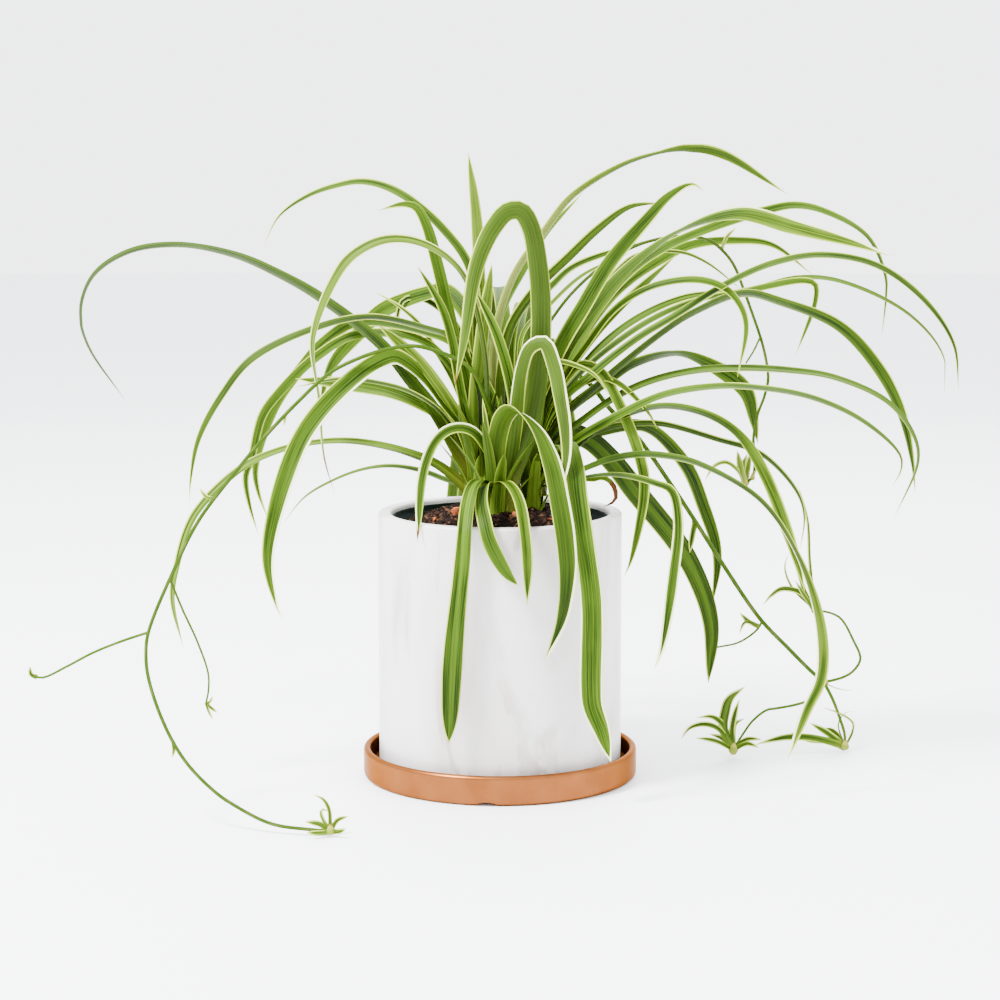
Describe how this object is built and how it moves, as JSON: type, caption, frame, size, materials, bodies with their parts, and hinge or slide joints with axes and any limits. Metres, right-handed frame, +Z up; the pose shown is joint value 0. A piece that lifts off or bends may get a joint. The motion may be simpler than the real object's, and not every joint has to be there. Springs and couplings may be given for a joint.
{
  "type": "potted spider plant",
  "caption": "Spider plant with arching striped leaves and trailing runners with plantlets, in a cylindrical marbled planter on a copper saucer.",
  "frame": {"origin": "centre of the saucer's flat underside, on the surface that it stands on", "axes": "+Z up, -Y towards the picture's viewer, +X to the viewer's right"},
  "size_m": [0.6167, 0.4367, 0.4348],
  "materials": {
    "saucer_copper": "satin",
    "planter_ceramic": "satin",
    "grow_pot_plastic": "satin",
    "potting_soil": "matte",
    "leaf_striped": "satin",
    "runner_green": "satin"
  },
  "bodies": {
    "root": {"saucer": "saucer_copper", "planter": "planter_ceramic", "grow_pot": "grow_pot_plastic", "soil": "potting_soil", "rosette_left": "leaf_striped", "rosette_front": "leaf_striped", "rosette_right": "leaf_striped", "rosette_back": "leaf_striped", "runner_left": "runner_green", "runner_right": "runner_green", "runner_back": "runner_green"}
  },
  "joints": []
}
